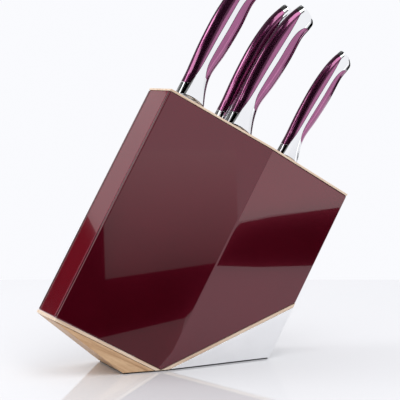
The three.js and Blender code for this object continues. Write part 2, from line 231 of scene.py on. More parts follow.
# ---- Finishes ----
@dataclass(frozen=True)
class Lacquer:
    """A deep burgundy lacquer with a pearl layer under a polished clear coat."""

    name: str = "burgundy_lacquer"
    slot: str = "lacquer"
    deep: Colour = (0.044, 0.0008, 0.0042)
    lively: Colour = (0.058, 0.0013, 0.0058)
    pearl: Colour = (1.0, 0.10, 0.20)
    cloud_scale: float = 14
    grit_scale: float = 1100
    peel_scale: float = 420
    peel_height: float = 0.004 * MM

    def make(self) -> bpy.types.Material:
        """Builds the material: cloudy pigment, uneven gloss and faint orange peel.

        Returns:
            The material.
        """
        graph = Graph(self.name)
        where = graph.place()
        cloud = graph.noise(where, self.cloud_scale, 4, 0.6)
        graph.join(graph.ramp(cloud, [(0.3, self.deep), (0.72, self.lively)]), "Base Color")
        grit = graph.noise(where, self.grit_scale, 2)
        graph.join(graph.spread(grit, 0.3, 0.7, (0.09, 0.15)), "Roughness")
        graph.set(IOR=1.5, Specular_IOR_Level=0.78, Specular_Tint=self.pearl)
        graph.set(Coat_Weight=1.0, Coat_IOR=1.57, Coat_Roughness=0.02)
        graph.bump([(graph.noise(where, self.peel_scale, 1), self.peel_height)])
        return graph.material


class Grain(Enum):
    """The direction that a wooden piece's grain runs in, as an angle down from +X."""

    ALONG_TOP = math.degrees(SLOT_TILT)
    ALONG_LOW_EDGE = -19.3
    ALONG_SLOTS = math.degrees(SLOT_TILT) - 90


@dataclass(frozen=True)
class Wood:
    """Oiled wood with growth rings, fine pores and slow changes of tone."""

    name: str
    slot: str
    grain: Grain
    light: Colour
    middle: Colour
    dark: Colour
    rings: float = 260
    fibre_scale: float = 2600
    pore_scale: float = 1500
    ring_height: float = 0.03 * MM
    fibre_height: float = 0.02 * MM

    def make(self) -> bpy.types.Material:
        """Builds the material in axes that follow the grain.

        Returns:
            The material.
        """
        graph = Graph(self.name)
        turn = Matrix.Rotation(-math.radians(self.grain.value), 3, "Y")
        along = graph.place(turn, (0.055, 1, 1))
        wavy = graph.noise(graph.place(turn, (3.5, 22, 22)), 1, 4, 0.4)
        ring = graph.noise(along, self.rings, 2.5, 1.1)
        fibre = graph.noise(graph.place(turn, (0.02, 1, 1)), self.fibre_scale, 2)
        pore = graph.noise(graph.place(turn, (0.06, 1, 1)), self.pore_scale, 1)
        tone = graph.ramp(ring, [(0.30, self.dark), (0.50, self.middle), (0.68, self.light)])
        tone = graph.blend(graph.spread(wavy, 0.35, 0.75, (0.0, 0.45)), tone, self.middle)
        tone = graph.blend(graph.spread(fibre, 0.35, 0.7, (0.0, 0.22)), tone, self.dark)
        tone = graph.blend(graph.spread(pore, 0.64, 0.74, (0.0, 0.5)), tone, self.dark)
        graph.join(tone, "Base Color")
        graph.join(graph.spread(fibre, 0.3, 0.7, (0.42, 0.58)), "Roughness")
        graph.set(Coat_Weight=0.12, Coat_Roughness=0.25)
        graph.bump([(ring, self.ring_height), (fibre, self.fibre_height)])
        return graph.material


@dataclass(frozen=True)
class Steel:
    """Stainless steel, from mirror polish to a satin grind with lines across it."""

    name: str
    slot: str
    colour: Colour
    roughness: Point
    lines: float
    line_depth: float
    turn: Matrix | None = None
    smear_scale: float = 38
    smear_tone: float = 0.955  # of the colour, where the polish is smeared

    def make(self) -> bpy.types.Material:
        """Builds the material: grind lines or hairline marks, and faint smears in the polish.

        Returns:
            The material.
        """
        graph = Graph(self.name)
        marks = graph.noise(graph.place(self.turn, (0.03, 0.5, 1)), self.lines, 3)
        smear = graph.noise(graph.place(), self.smear_scale, 3, 0.8)
        smeared = tuple(self.smear_tone * part for part in self.colour)
        graph.join(graph.ramp(smear, [(0.3, smeared), (0.7, self.colour)]), "Base Color")
        graph.join(graph.spread(marks, 0.3, 0.7, self.roughness), "Roughness")
        graph.set(Metallic=1.0)
        graph.bump([(marks, self.line_depth)])
        return graph.material


@dataclass(frozen=True)
class Enamel:
    """A metallic plum coating with fine flakes under a clear gloss."""

    name: str = "plum_enamel"
    slot: str = "plum_inlay"
    colour: Colour = (0.36, 0.078, 0.23)
    shade: Colour = (0.30, 0.058, 0.185)
    glint: Colour = (0.50, 0.20, 0.38)
    cloud_scale: float = 60
    flake_scale: float = 5200
    flake_height: float = 0.0005 * MM

    def make(self) -> bpy.types.Material:
        """Builds the material: flakes in the colour and roughness, and a slight cloudiness.

        Returns:
            The material.
        """
        graph = Graph(self.name)
        where = graph.place()
        cloud = graph.noise(where, self.cloud_scale, 3, 0.5)
        flake = graph.noise(where, self.flake_scale, 1)
        tone = graph.ramp(cloud, [(0.3, self.shade), (0.7, self.colour)])
        tone = graph.blend(graph.spread(flake, 0.6, 0.75, (0.0, 0.14)), tone, self.glint)
        graph.join(tone, "Base Color")
        graph.join(graph.spread(flake, 0.3, 0.7, (0.13, 0.19)), "Roughness")
        graph.set(Metallic=0.97, Coat_Weight=1.0, Coat_IOR=1.7, Coat_Roughness=0.03)
        graph.bump([(flake, self.flake_height)])
        return graph.material


@dataclass(frozen=True)
class Rubber:
    """Dull black rubber with a pebbled skin."""

    name: str = "pad_rubber"
    slot: str = "rubber"
    black: Colour = (0.014, 0.014, 0.016)
    dusty: Colour = (0.034, 0.034, 0.037)
    pebble_scale: float = 1900
    dust_scale: float = 70
    pebble_height: float = 0.04 * MM

    def make(self) -> bpy.types.Material:
        """Builds the material: a fine pebble and worn, dusty patches.

        Returns:
            The material.
        """
        graph = Graph(self.name)
        where = graph.place()
        pebble = graph.noise(where, self.pebble_scale, 2)
        dust = graph.noise(where, self.dust_scale, 4)
        graph.join(graph.ramp(dust, [(0.35, self.black), (0.75, self.dusty)]), "Base Color")
        graph.join(graph.spread(dust, 0.3, 0.7, (0.66, 0.85)), "Roughness")
        graph.bump([(pebble, self.pebble_height)])
        return graph.material


Finish = Lacquer | Wood | Steel | Enamel | Rubber
LACQUER = Lacquer()
# Painted light: a lighter copy of the burgundy lacquer for the end panels. It stands in for the stronger
# light on the block's upward-facing left end.
PAINTED_LIGHT_LACQUER = Lacquer(
    "painted_light_lacquer", deep=(0.145, 0.0050, 0.0115), lively=(0.170, 0.0064, 0.014), pearl=(1.0, 0.2, 0.6),
)
PALE = {"light": (0.87, 0.72, 0.56), "middle": (0.80, 0.62, 0.46), "dark": (0.62, 0.42, 0.28)}
WARM = {"light": (0.74, 0.50, 0.29), "middle": (0.60, 0.37, 0.20), "dark": (0.38, 0.20, 0.09)}
BOARD = {"light": (0.62, 0.45, 0.29), "middle": (0.52, 0.35, 0.21), "dark": (0.32, 0.19, 0.10)}
TOP_WOOD = Wood("top_wood", "pale_wood", Grain.ALONG_TOP, **PALE)
EDGE_WOOD = Wood("edge_wood", "pale_wood", Grain.ALONG_LOW_EDGE, **PALE)
FOOT_WOOD = Wood("foot_wood", "foot_wood", Grain.ALONG_TOP, **WARM, rings=170)
BOARD_WOOD = Wood("board_wood", "board_wood", Grain.ALONG_SLOTS, **BOARD)
MIRROR_STEEL = Steel("mirror_steel", "mirror_steel", (0.93, 0.935, 0.945), (0.045, 0.085), 3200, 0.0000006)
BLADE_STEEL = Steel(
    "blade_steel", "blade_steel", (0.74, 0.75, 0.77), (0.2, 0.32), 2600, 0.0000025,
    Matrix.Rotation(-SLOT_TILT, 3, "Y"),
)
ZINC_STEEL = Steel("zinc_steel", "zinc_steel", (0.6, 0.62, 0.66), (0.3, 0.5), 1500, 0.00001)
ENAMEL = Enamel()
RUBBER = Rubber()
_made: dict[str, bpy.types.Material] = {}


def material_of(finish: Finish) -> bpy.types.Material:
    """Gives a finish's material, which is built once.

    Args:
        finish: the finish.

    Returns:
        Its material.
    """
    if finish.name not in _made:
        _made[finish.name] = finish.make()
    return _made[finish.name]


def dress(piece: Solid, finish: Finish) -> None:
    """Gives a whole piece one finish."""
    piece.data.materials.clear()
    piece.data.materials.append(material_of(finish))


# ---- Meshes ----
def new_object(name: str, mesh: bpy.types.Mesh) -> Solid:
    """Links a new object at the origin."""
    made = bpy.data.objects.new(name, mesh)
    bpy.context.scene.collection.objects.link(made)
    return made


def solid_of(name: str, form: bmesh.types.BMesh) -> Solid:
    """Turns a built form into an object, with its faces turned outwards.

    Args:
        name: the object's name.
        form: the form, which is used up.

    Returns:
        The object.
    """
    bmesh.ops.recalc_face_normals(form, faces=form.faces)
    mesh = bpy.data.meshes.new(name)
    form.to_mesh(mesh)
    form.free()
    return new_object(name, mesh)


def freeze(piece: Solid) -> Solid:
    """Turns a piece's modifiers into plain mesh.

    Args:
        piece: the object, at the origin.

    Returns:
        The same object, with no modifiers left.
    """
    graph = bpy.context.evaluated_depsgraph_get()
    shaped = piece.evaluated_get(graph)
    mesh = bpy.data.meshes.new_from_object(shaped, preserve_all_data_layers=True, depsgraph=graph)
    piece.modifiers.clear()
    old = piece.data
    piece.data = mesh
    bpy.data.meshes.remove(old)
    return piece


def round_shading(piece: Solid, crease: float) -> Solid:
    """Shades a piece smooth up to a crease angle, with the large faces' normals leading.

    Args:
        piece: the object.
        crease: the angle past which an edge stays sharp, in degrees.

    Returns:
        The same object.
    """
    piece.data.polygons.foreach_set("use_smooth", [True] * len(piece.data.polygons))
    piece.data.set_sharp_from_angle(angle=math.radians(crease))
    weighted = piece.modifiers.new("Weighted", "WEIGHTED_NORMAL")
    weighted.keep_sharp = True
    weighted.weight = FACE_LEAD
    return freeze(piece)


def cut_with(piece: Solid, tool: Solid, operation: str) -> Solid:
    """Cuts or limits a piece with another solid, which is then removed.

    Args:
        piece: the object that is kept.
        tool: the solid that cuts.
        operation: DIFFERENCE or INTERSECT.

    Returns:
        The piece.
    """
    boolean = piece.modifiers.new("Cut", "BOOLEAN")
    boolean.operation = operation
    boolean.solver = "EXACT"
    boolean.object = tool
    freeze(piece)
    bpy.data.objects.remove(tool)
    return piece


def prism(name: str, outline: Sequence[Point], half: float) -> Solid:
    """Makes a solid from an outline in the x-z plane.

    Args:
        name: the object's name.
        outline: the corners in order.
        half: half the solid's thickness along y.

    Returns:
        The object, in the outline's units.
    """
    form = bmesh.new()
    near = [form.verts.new((x, -half, z)) for x, z in outline]
    far = [form.verts.new((x, half, z)) for x, z in outline]
    form.faces.new(near)
    form.faces.new(list(reversed(far)))
    for i, corner in enumerate(near):
        after = (i + 1) % len(near)
        form.faces.new((corner, far[i], far[after], near[after]))
    return solid_of(name, form)


# ---- The block ----
@dataclass(frozen=True)
class Trim:
    """How one outer piece is finished."""

    node: str
    finish: Finish
    radius: float  # of its softened edges, in millimetres


@dataclass
class Casing:
    """The block's outer pieces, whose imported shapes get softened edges."""

    crease: float = 5  # degrees past which an edge is softened, so that a panel's fold is too
    smooth_to: float = 40  # degrees up to which the shading is smooth
    segments: int = 3  # of each softened edge
    trims: tuple[Trim, ...] = (
        Trim("front_panel", LACQUER, 1.1),
        Trim("back_panel", LACQUER, 1.1),
        # The end panels get the lacquer's lighter copy, with painted light.
        Trim("left_end_panel", PAINTED_LIGHT_LACQUER, 0.6),
        Trim("right_end_panel", PAINTED_LIGHT_LACQUER, 0.6),
        Trim("top_plate", TOP_WOOD, 0.3),
        Trim("bottom_plate_left", TOP_WOOD, 0.35),
        Trim("bottom_plate_right", EDGE_WOOD, 0.35),
        Trim("wood_foot", FOOT_WOOD, 0.6),
        Trim("steel_foot", MIRROR_STEEL, 0.35),
        Trim("non_slip_pad", RUBBER, 0.25),
    )

    def soften(self, nodes: Nodes, node: str, radius: float) -> Solid:
        """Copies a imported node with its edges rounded.

        Args:
            nodes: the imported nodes.
            node: the node's name.
            radius: of the rounded edges, in metres.

        Returns:
            The new piece, which stands for the node.
        """
        form = bmesh.new()
        form.from_mesh(nodes[node].data)
        bmesh.ops.remove_doubles(form, verts=form.verts, dist=WELD)
        bmesh.ops.dissolve_limit(
            form, angle_limit=FLAT_WITHIN, verts=form.verts, edges=form.edges, delimit=set()
        )
        piece = solid_of(f"{node}_soft", form)
        bevel = piece.modifiers.new("Bevel", "BEVEL")
        bevel.width = radius
        bevel.segments = self.segments
        bevel.limit_method = "ANGLE"
        bevel.angle_limit = math.radians(self.crease)
        freeze(piece)
        return round_shading(piece, self.smooth_to)

    def build(self, nodes: Nodes) -> None:
        """Makes and dresses every outer piece.

        Args:
            nodes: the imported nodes.
        """
        for trim in self.trims:
            piece = self.soften(nodes, trim.node, trim.radius * MM)
            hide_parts(trim.node)
            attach(piece, "block")
            dress(piece, trim.finish)
            LOG.info("%s: %d faces", piece.name, len(piece.data.polygons))


def dress_inside(nodes: Nodes) -> None:
    """Gives the core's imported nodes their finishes.

    Args:
        nodes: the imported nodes.
    """
    for name, node in nodes.items():
        if name.endswith("_board") or "_spacer_" in name or name == "foot_core":
            dress(node, BOARD_WOOD)
        elif name.startswith("foot_screw"):
            dress(node, ZINC_STEEL)
        else:
            continue
        LOG.info("%s: packed shape kept", name)


# ---- The knives ----
def flowing(points: Sequence[Point], steps: int = 24) -> np.ndarray:
    """Draws a smooth line through points.

    Args:
        points: the points that the line passes.
        steps: the number of steps from each point to the next.

    Returns:
        The line's points, one a row.
    """
    given = np.array(points, float)
    padded = np.vstack([given[0], given, given[-1]])
    line = []
    for before, start, end, after in zip(padded, padded[1:], padded[2:], padded[3:]):
        for i in range(steps):
            t = i / steps
            into, out = (end - before) / 2, (after - start) / 2
            line.append(
                start + into * t + (3 * (end - start) - 2 * into - out) * t**2
                + (2 * (start - end) + into + out) * t**3
            )
    return np.array([*line, given[-1]])


@dataclass(frozen=True)
class HandleForm:
    """The full-size handle in its knife's axes, in millimetres: x from the spine, z up the handle."""

    spine: tuple[Point, ...] = (
        (0, 1.5), (-0.4, 22), (-1.9, 54), (-1.2, 86), (3, 114), (10.4, 134.7), (13.5, 136.0),
    )
    belly: tuple[Point, ...] = (
        (29.5, 1.5), (24.4, 17), (22.3, 33), (25.9, 56), (28.2, 84), (28.1, 108), (30.6, 120.5),
        (30.8, 129), (23, 133.7), (13.5, 136.0),
    )
    butt: tuple[Point, ...] = ((6, 129), (10.4, 134.7), (13.5, 136.0), (23, 133.7), (30.8, 129))
    spine_seam: tuple[Point, ...] = ((4.5, 14), (7.3, 33), (8.9, 66), (11.3, 104), (12, 127), (6, 131))
    belly_seam: tuple[Point, ...] = (
        (30, 119.5), (22.5, 117), (17.2, 104.5), (15.2, 76), (13, 40), (16.2, 26),
    )
    thickness: float = 16
    flat: float = 0.25  # share of the width between the rounded sides
    foot: float = 1.5  # height of the bolster's feet
    arch: float = 3  # rise of the bolster's underside between them
    butt_round: float = 5
    bolster_top: float = 26  # up to which the section is squarer
    seam: float = 0.45  # width of the fine joint round each inlay
    squareness: float = 1.6  # added to the section's power at the bolster's feet
    foot_taper: float = 0.94  # of the lowest ring's thickness
    arched_to: float = 14  # height up to which the rings follow the bolster's arch
    crowded_from: float = 12  # below the top, from where the rings draw together
    weld: float = 0.004
    outside: Point = (-20, 50)  # x clear of the spine and of the belly
    spine_margins: Point = (4, 5)  # of the spine inlay's region, below and above its seam
    belly_low: float = 8  # height of the lowest corner of the belly inlay's region
    smooth_to: float = 38  # degrees up to which the shading is smooth
    across: int = 30
    up: int = 96

    def section(self, share: np.ndarray, height: np.ndarray) -> np.ndarray:
        """Half the thickness over the width.

        Args:
            share: places across the width, from -1 to 1.
            height: the heights there.

        Returns:
            Half the thickness at each place.
        """
        side = np.clip((np.abs(share) - self.flat) / (1 - self.flat), 0, 1)
        squarer = 1 - np.clip(height / self.bolster_top, 0, 1)
        power = 2 + self.squareness * squarer**1.5
        return self.thickness / 2 * (1 - side**power) ** (1 / power)

    def loft(self) -> Solid:
        """Builds the whole handle as one smooth solid between its two outlines.

        Returns:
            The handle in its own axes.
        """
        spine, belly, butt = flowing(self.spine), flowing(self.belly), flowing(self.butt)
        belly = belly[np.argsort(belly[:, 1])]
        crowd = self.crowded_from
        shoulder = self.spine[-1][1] - crowd
        turn = np.linspace(0, math.pi / 2, self.up // 3)
        heights = np.concatenate([np.linspace(0, shoulder, self.up)[:-1], shoulder + crowd * np.sin(turn)])
        share = -np.cos(np.linspace(0, math.pi, self.across + 1))
        form = bmesh.new()
        rings = []
        for i, height in enumerate(heights):
            under = self.foot + self.arch * (1 - share**2)
            low = np.clip(height / self.arched_to, 0, 1)
            z = under * (1 - low) + np.maximum(height, self.foot) * low
            left = np.interp(z, spine[:, 1], spine[:, 0])
            right = np.interp(z, belly[:, 1], belly[:, 0])
            x = (left + right) / 2 + share * (right - left) / 2
            away_x, away_z = x[:, None] - butt[None, :, 0], z[:, None] - butt[None, :, 1]
            gap = np.min(np.hypot(away_x, away_z), axis=1)
            rounding = np.sqrt(1 - (1 - np.clip(gap / self.butt_round, 0, 1)) ** 2)
            half = self.section(share, z) * rounding * (self.foot_taper if i == 0 else 1)
            near = [form.verts.new((x[k], -half[k], z[k])) for k in range(self.across + 1)]
            far = [form.verts.new((x[k], half[k], z[k])) for k in range(self.across - 1, 0, -1)]
            rings.append(near + far)
        count = len(rings[0])
        for lower, upper in zip(rings, rings[1:]):
            for k in range(count):
                after = (k + 1) % count
                form.faces.new((lower[k], lower[after], upper[after], upper[k]))
        for k in range(self.across):
            first, second = rings[0][k], rings[0][k + 1]
            third, fourth = rings[0][-k - 1], rings[0][-k] if k else None
            corners = [corner for corner in (first, fourth, third, second) if corner is not None]
            form.faces.new(list(dict.fromkeys(corners)))
        bmesh.ops.remove_doubles(form, verts=form.verts, dist=self.weld)
        bmesh.ops.dissolve_degenerate(form, edges=form.edges, dist=self.weld / 2)
        return solid_of("handle_whole", form)

    def spine_region(self, grow: float) -> Solid:
        """Makes the region of the handle that the spine inlay takes up.

        Args:
            grow: how far past the seam it reaches.

        Returns:
            The region as a solid.
        """
        seam = flowing([(x + grow, z) for x, z in self.spine_seam[:-1]])
        foot, head = self.spine_seam[0], self.spine_seam[-1]
        clear, (below, above) = self.outside[0], self.spine_margins
        outline = [(clear, foot[1] - below - grow), (foot[0] + grow, foot[1] - grow), *map(tuple, seam[1:])]
        outline += [(head[0] + grow, head[1] + grow), (clear, head[1] + above + grow)]
        return prism("spine_region", outline, self.thickness)

    def belly_region(self, grow: float) -> Solid:
        """Makes the region of the handle that the belly inlay takes up.

        Args:
            grow: how far past the seam it reaches.

        Returns:
            The region as a solid.
        """
        head = self.belly_seam[0]
        seam = flowing([head, *[(x - grow, z) for x, z in self.belly_seam[1:]]])
        clear = self.outside[1]
        outline = [(clear, head[1] + grow), (head[0], head[1] + grow), *map(tuple, seam[1:])]
        outline += [(clear, self.belly_low - grow)]
        return prism("belly_region", outline, self.thickness)

    def parts(self) -> Nodes:
        """Splits the handle into the steel frame and its two inlays.

        Returns:
            The pieces in the handle's axes, under the ends of their nodes' names.
        """
        frame, spine, belly = self.loft(), self.loft(), self.loft()
        cut_with(frame, self.spine_region(self.seam), "DIFFERENCE")
        cut_with(frame, self.belly_region(self.seam), "DIFFERENCE")
        cut_with(spine, self.spine_region(0), "INTERSECT")
        cut_with(belly, self.belly_region(0), "INTERSECT")
        return {"handle_frame": frame, "spine_inlay": spine, "belly_inlay": belly}


class FormTree:
    """A geometry node tree with short calls for the arithmetic of a shape's rule."""

    def __init__(self, name: str) -> None:
        """Starts an empty tree.

        Args:
            name: the tree's name.
        """
        self.tree = bpy.data.node_groups.new(name, "GeometryNodeTree")
        self.tree.interface.new_socket("Geometry", in_out="INPUT", socket_type="NodeSocketGeometry")
        self.tree.interface.new_socket("Geometry", in_out="OUTPUT", socket_type="NodeSocketGeometry")
        self.keys: dict[str, str] = {}
        self.group_input = self.tree.nodes.new("NodeGroupInput")
        self.group_output = self.tree.nodes.new("NodeGroupOutput")

    def size(self, name: str, kind: str = "NodeSocketFloat") -> Socket:
        """Adds a named input.

        Args:
            name: the input's name.
            kind: its socket's type.

        Returns:
            Its socket inside the tree.
        """
        item = self.tree.interface.new_socket(name, in_out="INPUT", socket_type=kind)
        self.keys[name] = item.identifier
        return self.group_input.outputs[name]

    def node(self, kind: str, **inputs: object) -> bpy.types.Node:
        """Adds a node and feeds its inputs by name.

        Args:
            kind: the node's type.
            inputs: socket names, with underscores for spaces, and the sockets or values that feed them.

        Returns:
            The node.
        """
        made = self.tree.nodes.new(kind)
        for key, value in inputs.items():
            self.feed(made.inputs[key.replace("_", " ")], value)
        return made

    def feed(self, socket: Socket, value: object) -> None:
        """Links a socket, or sets its value."""
        if isinstance(value, Socket):
            self.tree.links.new(value, socket)
        else:
            socket.default_value = value

    def math(self, operation: str, *values: object) -> Socket:
        """Adds a math node.

        Args:
            operation: the operation's name.
            values: the sockets or numbers that it works on.

        Returns:
            The result's socket.
        """
        made = self.tree.nodes.new("ShaderNodeMath")
        made.operation = operation
        for socket, value in zip(made.inputs, values):
            self.feed(socket, value)
        return made.outputs[0]

    def clamped(self, value: Socket) -> Socket:
        """Limits a value to 0..1."""
        return self.math("MINIMUM", self.math("MAXIMUM", value, 0.0), 1.0)

    def past(self, value: Socket, start: float) -> Socket:
        """Gives how far a share has come from a start towards 1, as 0..1."""
        return self.clamped(self.math("DIVIDE", self.math("SUBTRACT", value, start), 1 - start))

    def between(self, share: object, low: object, high: object) -> Socket:
        """Gives the value at a share of the way from low to high."""
        return self.math("MULTIPLY_ADD", self.math("SUBTRACT", high, low), share, low)


@dataclass(frozen=True)
class BladeSize:
    """A blade's sizes in metres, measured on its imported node."""

    length: float
    width: float
    heel: float
    tip: float
    thickness: float
    teeth: int


@dataclass(frozen=True)
class BladeForm:
    """A ground blade as a rule: a flat wedge section that runs between a spine line and an edge line."""

    spine_line: float = 0.6 * MM
    neck: float = 4.2 * MM  # how far the blade reaches up into the bolster
    heel_drop: float = 4 * MM
    edge_thickness: float = 0.3 * MM
    tooth_depth: float = 0.9 * MM
    ground_from: float = 0.35  # share of the width where the grind starts
    sweep_from: float = 0.6  # share of the length where the spine starts to drop
    edge_curve: float = 2.7
    tip_thinning: float = 0.45  # share of the thickness that is lost from heel to tip
    tip_power: float = 60.0  # how suddenly the section closes at the tip
    weld: float = 0.02 * MM
    smooth_to: float = 28  # degrees up to which the shading is smooth
    across: int = 31
    down: int = 260

    def tree(self) -> FormTree:
        """Builds the node tree that shapes a blade from its named sizes.

        Returns:
            The tree.
        """
        form = FormTree("ground_blade")
        length, width, heel = form.size("Length"), form.size("Width"), form.size("Heel Width")
        tip, thick, teeth = form.size("Tip Place"), form.size("Thickness"), form.size("Teeth")
        finish = form.size("Finish", "NodeSocketMaterial")
        grid = form.node("GeometryNodeMeshGrid", Size_X=1.0, Size_Y=1.0)
        grid.inputs["Vertices X"].default_value = self.across
        grid.inputs["Vertices Y"].default_value = self.down
        at = form.node("ShaderNodeSeparateXYZ", Vector=form.node("GeometryNodeInputPosition").outputs[0])
        around = form.math("ADD", at.outputs["X"], 0.5)
        down = form.math("ADD", at.outputs["Y"], 0.5)
        # Round the section: 0 at the spine's middle, 1 at the edge, and 0 again at the spine.
        aside = form.math("ABSOLUTE", form.math("MULTIPLY_ADD", around, 2.0, -1.0))
        fold = form.math("SUBTRACT", 1.0, aside)
        corner = 2 / (self.across - 1)
        share = form.past(fold, corner)
        side = form.math("SIGN", form.math("SUBTRACT", around, 0.5))
        # Down the blade, from inside the bolster to the tip.
        z = form.between(down, self.neck, form.math("MULTIPLY", length, -1.0))
        reach = form.clamped(form.math("DIVIDE", form.math("MULTIPLY", z, -1.0), length))
        drop = form.math("POWER", form.past(reach, self.sweep_from), 2.0)
        spine = form.between(drop, self.spine_line, tip)
        full = form.math("SUBTRACT", 1.0, form.math("POWER", reach, self.edge_curve))
        edge = form.between(full, tip, width)
        swing = form.math("MULTIPLY", form.math("MULTIPLY", reach, math.pi), teeth)
        wave = form.math("ABSOLUTE", form.math("SINE", swing))
        bite = form.math("MULTIPLY", form.clamped(teeth), form.math("MULTIPLY", self.tooth_depth, wave))
        edge = form.math("MAXIMUM", form.math("SUBTRACT", edge, bite), spine)
        under_heel = form.math("LESS_THAN", z, -self.heel_drop)
        edge = form.between(under_heel, form.math("MINIMUM", heel, edge), edge)
        x = form.between(share, spine, edge)
        # The grind thins the section towards the edge, and the whole blade thins towards its tip.
        ground = form.past(share, self.ground_from)
        half = form.between(ground, form.math("MULTIPLY", thick, 0.5), self.edge_thickness / 2)
        closed = form.clamped(form.math("DIVIDE", fold, corner))
        thinning = form.math("SUBTRACT", 1.0, form.math("MULTIPLY", self.tip_thinning, reach))
        tip_end = form.math("SUBTRACT", 1.0, form.math("POWER", reach, self.tip_power))
        ends = form.math("MULTIPLY", tip_end, form.math("GREATER_THAN", down, 0.0))
        section = form.math("MULTIPLY", half, closed)
        shaped = form.math("MULTIPLY", section, form.math("MULTIPLY", thinning, ends))
        y = form.math("MULTIPLY", side, shaped)
        place = form.node("ShaderNodeCombineXYZ", X=x, Y=y, Z=z)
        sheet = grid.outputs["Mesh"]
        moved = form.node("GeometryNodeSetPosition", Geometry=sheet, Position=place.outputs[0])
        merged = form.node("GeometryNodeMergeByDistance", Geometry=moved.outputs[0], Distance=self.weld)
        real = form.node("GeometryNodeRealizeInstances", Geometry=merged.outputs[0])
        dressed = form.node("GeometryNodeSetMaterial", Geometry=real.outputs[0], Material=finish)
        form.feed(form.group_output.inputs[0], dressed.outputs[0])
        return form

    def make(self, form: FormTree, name: str, size: BladeSize) -> Solid:
        """Makes one blade in its knife's axes.

        Args:
            form: the tree.
            name: the object's name.
            size: the blade's sizes.

        Returns:
            The blade as plain mesh.
        """
        piece = new_object(name, bpy.data.meshes.new(name))
        modifier = piece.modifiers.new("Blade", "NODES")
        modifier.node_group = form.tree
        values = {
            "Length": size.length, "Width": size.width, "Heel Width": size.heel, "Tip Place": size.tip,
            "Thickness": size.thickness, "Teeth": float(size.teeth), "Finish": material_of(BLADE_STEEL),
        }
        for key, value in values.items():
            modifier[form.keys[key]] = value
        freeze(piece)
        mesh = bmesh.new()
        mesh.from_mesh(piece.data)
        bmesh.ops.dissolve_degenerate(mesh, edges=mesh.edges, dist=1e-7)
        bmesh.ops.recalc_face_normals(mesh, faces=mesh.faces)
        mesh.to_mesh(piece.data)
        mesh.free()
        return piece


HANDLE = HandleForm()
BLADE = BladeForm()


@dataclass
class Knife:
    """One knife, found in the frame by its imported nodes."""

    name: str
    broad: float = 1.0
    tall: float = 1.0
    teeth: int = 0
    neck_band: float = 0.2 * MM  # either side of the plate, where the neck is measured

    def axes(self, frame: dict) -> Matrix:
        """Finds the knife's axes: x from spine to edge, z up the handle, and the origin at the plate.

        Args:
            frame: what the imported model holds.

        Returns:
            The transform from the knife's axes, in metres, to the row frame.
        """
        joint = next(j for j in frame["joints"] if j["child"] == f"{self.name}_knife")
        up = Vector(joint["axis"]).normalized()
        side = Vector((0, 1, 0)).cross(up)
        blade = np.array([v.co for v in frame["nodes"][f"{self.name}_blade"].data.vertices])
        handle = np.array([v.co for v in frame["nodes"][f"{self.name}_handle_frame"].data.vertices])
        across = float((blade @ np.array(side)).min()) - BLADE.spine_line
        height = float((handle @ np.array(up)).min()) - HANDLE.foot * MM * self.tall
        middle = float(blade[:, 1].min() + blade[:, 1].max()) / 2
        origin = side * across + up * height + Vector((0, middle, 0))
        turn = Matrix((side, (0, 1, 0), up)).transposed().to_4x4()
        return Matrix.Translation(origin) @ turn

    def blade_size(self, frame: dict, axes: Matrix) -> BladeSize:
        """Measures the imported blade.

        Args:
            frame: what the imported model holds.
            axes: the knife's axes.

        Returns:
            The blade's sizes.
        """
        back = axes.inverted()
        points = np.array([back @ v.co for v in frame["nodes"][f"{self.name}_blade"].data.vertices])
        lowest = points[points[:, 2].argmin()]
        under = points[points[:, 2] < -BLADE.heel_drop / 2]
        neck = points[np.abs(points[:, 2]) < self.neck_band]
        return BladeSize(
            length=-float(points[:, 2].min()),
            width=float(under[:, 0].max()),
            heel=float(neck[:, 0].max()),
            tip=float(lowest[0]),
            thickness=float(np.ptp(points[:, 1])),
            teeth=self.teeth,
        )

    def build(self, frame: dict, form: FormTree, handle: Nodes) -> None:
        """Makes and dresses the knife's four pieces.

        Args:
            frame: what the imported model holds.
            form: the blades' node tree.
            handle: the full-size handle's pieces in their own axes.
        """
        axes = self.axes(frame)
        body = f"{self.name}_knife"
        blade = BLADE.make(form, f"{self.name}_blade_ground", self.blade_size(frame, axes))
        blade.data.transform(axes)
        round_shading(blade, BLADE.smooth_to)
        self.settle(blade, f"{self.name}_blade", body, BLADE_STEEL)
        scale = Matrix.Diagonal((self.broad * MM, self.tall * MM, self.tall * MM, 1))
        for key, source in handle.items():
            piece = new_object(f"{self.name}_{key}_smooth", source.data.copy())
            piece.data.transform(axes @ scale)
            round_shading(piece, HANDLE.smooth_to)
            finish = MIRROR_STEEL if key == "handle_frame" else ENAMEL
            self.settle(piece, f"{self.name}_{key}", body, finish)

    def settle(self, piece: Solid, node: str, body: str, finish: Finish) -> None:
        """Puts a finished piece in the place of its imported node.

        Args:
            piece: the new piece.
            node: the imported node's name.
            body: the body that it rides on.
            finish: what it is dressed in.
        """
        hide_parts(node)
        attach(piece, body)
        dress(piece, finish)
        LOG.info("%s: %d faces", piece.name, len(piece.data.polygons))


# ---- The studio ----
@dataclass(frozen=True)
class Card:
    """A flat card beside the set that only shows in reflections, seen from its lit side."""

    name: str
    corners: tuple[Place, ...]
    tone: float = 0.0
    top_tone: float | None = None


def flat_card(name: str, height: float, corners: tuple[Point, ...], tone: float = 0.0) -> Card:
    """Lays a card flat, facing up, or down if its corners turn the other way.

    Args:
        name: the card's name.
        height: over the table.
        corners: in plan, counter-clockwise from above.
        tone: how bright it is.

    Returns:
        The card.
    """
    return Card(name, tuple((x, y, height) for x, y in corners), tone)


def standing_card(
    name: str, left: Point, right: Point, low: float, high: float,
    tone: float = 0.0, top_tone: float | None = None,
) -> Card:
    """Stands a card upright.

    Args:
        name: the card's name.
        left: its left end in plan, as the block sees it.
        right: its right end in plan.
        low: the height of its lower edge.
        high: the height of its upper edge.
        tone: how bright it is.
        top_tone: how bright it is at its upper edge, when that differs.

    Returns:
        The card.
    """
    return Card(name, ((*left, low), (*right, low), (*right, high), (*left, high)), tone, top_tone)


